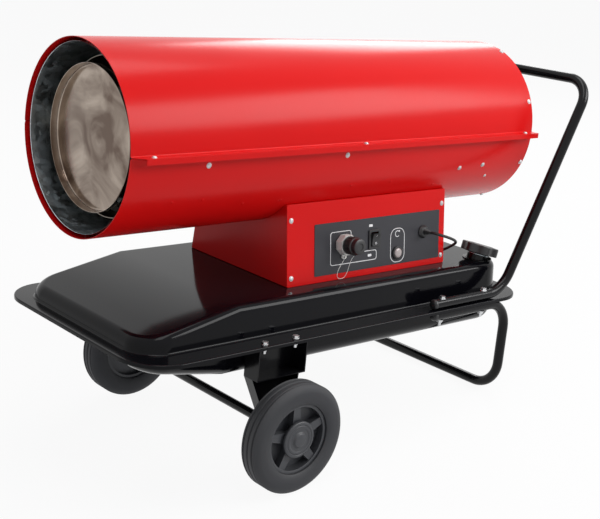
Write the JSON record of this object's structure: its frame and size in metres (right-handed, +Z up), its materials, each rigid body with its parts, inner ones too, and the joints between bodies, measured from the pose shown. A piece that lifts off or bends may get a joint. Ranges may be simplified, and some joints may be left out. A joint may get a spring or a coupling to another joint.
{
  "type": "forced air heater",
  "caption": "Wheeled oil-fired forced air heater: round air tube on a pressed fuel tank, with control box, tube handle, ground leg, turning wheels, fan and filler cap.",
  "frame": {"origin": "on the floor, under the middle of the heater's length and width, measured without the cord and its plug", "axes": "+X towards the handle and the air intake, -X the hot air outlet, -Y the side of the control panel, +Z up"},
  "size_m": [1.3896, 0.691, 0.968],
  "materials": {
    "red_paint": "gloss",
    "black_paint": "gloss",
    "galvanised": "satin",
    "stainless": "polished",
    "zinc": "satin",
    "cast_alloy": "matte",
    "tyre_rubber": "matte",
    "soft_rubber": "matte",
    "grey_plastic": "matte",
    "black_plastic": "matte",
    "white_plastic": "matte",
    "fascia_film": "matte",
    "button_cap": "gloss",
    "copper": "satin",
    "cord_sheath": "matte"
  },
  "bodies": {
    "chassis": {"axle": "zinc", "baffle_disc": "stainless", "burner_control_unit": "black_plastic", "burner_head": "galvanised", "burner_support": "galvanised", "cable_gland": "black_plastic", "casing_lower": "red_paint", "casing_upper": "red_paint", "clamp_bolt_far_1": "zinc", "clamp_bolt_far_2": "zinc", "clamp_bolt_near_1": "zinc", "clamp_bolt_near_2": "zinc", "combustion_chamber": "stainless", "control_box": "red_paint", "control_panel": "red_paint", "cord_coil": "cord_sheath", "cord_tail": "cord_sheath", "drain_plug": "zinc", "fan_motor": "cast_alloy", "filler_neck": "black_paint", "fuel_pump": "cast_alloy", "fuel_strainer": "galvanised", "handle": "black_paint", "handle_end_plug_far": "black_plastic", "handle_end_plug_near": "black_plastic", "ignition_transformer": "cast_alloy", "inner_shield": "galvanised", "intake_grille": "black_paint", "leg_end_plug_far": "black_plastic", "leg_end_plug_near": "black_plastic", "mains_plug": "black_plastic", "motor_bracket": "galvanised", "panel_fascia": "fascia_film", "power_cord": "cord_sheath", "pressure_pipe": "copper", "rear_leg": "black_paint", "reset_bezel": "black_plastic", "suction_pipe": "copper", "switch_bezel": "black_plastic", "tank_bottom_shell": "black_paint", "tank_top_shell": "black_paint", "thermostat_socket": "white_plastic", "wheel_bracket_far": "black_paint", "wheel_bracket_near": "black_paint", "wheel_spacer_far": "black_plastic", "wheel_spacer_near": "black_plastic"},
    "wheel_near": {"tyre_near": "tyre_rubber", "wheel_hub_near": "grey_plastic", "hub_cap_near": "grey_plastic"},
    "wheel_far": {"tyre_far": "tyre_rubber", "wheel_hub_far": "grey_plastic", "hub_cap_far": "grey_plastic"},
    "rotor": {"fan": "cast_alloy", "motor_shaft": "zinc"},
    "cap_plug": {"filler_plug": "soft_rubber"},
    "cap_knob": {"filler_knob": "black_plastic"},
    "rocker": {"switch_rocker": "black_plastic"},
    "button": {"reset_button": "button_cap"},
    "plug_cap": {"thermostat_plug": "black_plastic"}
  },
  "joints": [
    {"name": "wheel_near_spin", "type": "hinge", "parent": "chassis", "child": "wheel_near", "pos_m": [-0.33542, -0.3165, 0.125], "axis": [0, 1, 0], "continuous": true},
    {"name": "wheel_far_spin", "type": "hinge", "parent": "chassis", "child": "wheel_far", "pos_m": [-0.33542, 0.3165, 0.125], "axis": [0, 1, 0], "continuous": true},
    {"name": "fan_spin", "type": "hinge", "parent": "chassis", "child": "rotor", "pos_m": [0.48333, 0, 0.65842], "axis": [0.9956, 0, -0.094], "continuous": true},
    {"name": "filler_plug_lift", "type": "slide", "parent": "chassis", "child": "cap_plug", "axis": [0.3402, 0, 0.9404], "range_m": [0, 0.08]},
    {"name": "filler_knob_turn", "type": "hinge", "parent": "cap_plug", "child": "cap_knob", "pos_m": [0.39852, -0.19, 0.36633], "axis": [0.3402, 0, 0.9404], "range_deg": [0, 90]},
    {"name": "switch_rock", "type": "hinge", "parent": "chassis", "child": "rocker", "pos_m": [0.03725, -0.17122, 0.46038], "axis": [0.9956, 0, -0.094], "range_deg": [-20, 0]},
    {"name": "reset_press", "type": "slide", "parent": "chassis", "child": "button", "axis": [-0.0121, 0.9917, -0.1279], "range_m": [0, 0.003], "stiffness_N_per_m": 300},
    {"name": "thermostat_plug_pull", "type": "slide", "parent": "chassis", "child": "plug_cap", "axis": [0.0121, -0.9917, 0.1279], "range_m": [0, 0.035]}
  ]
}
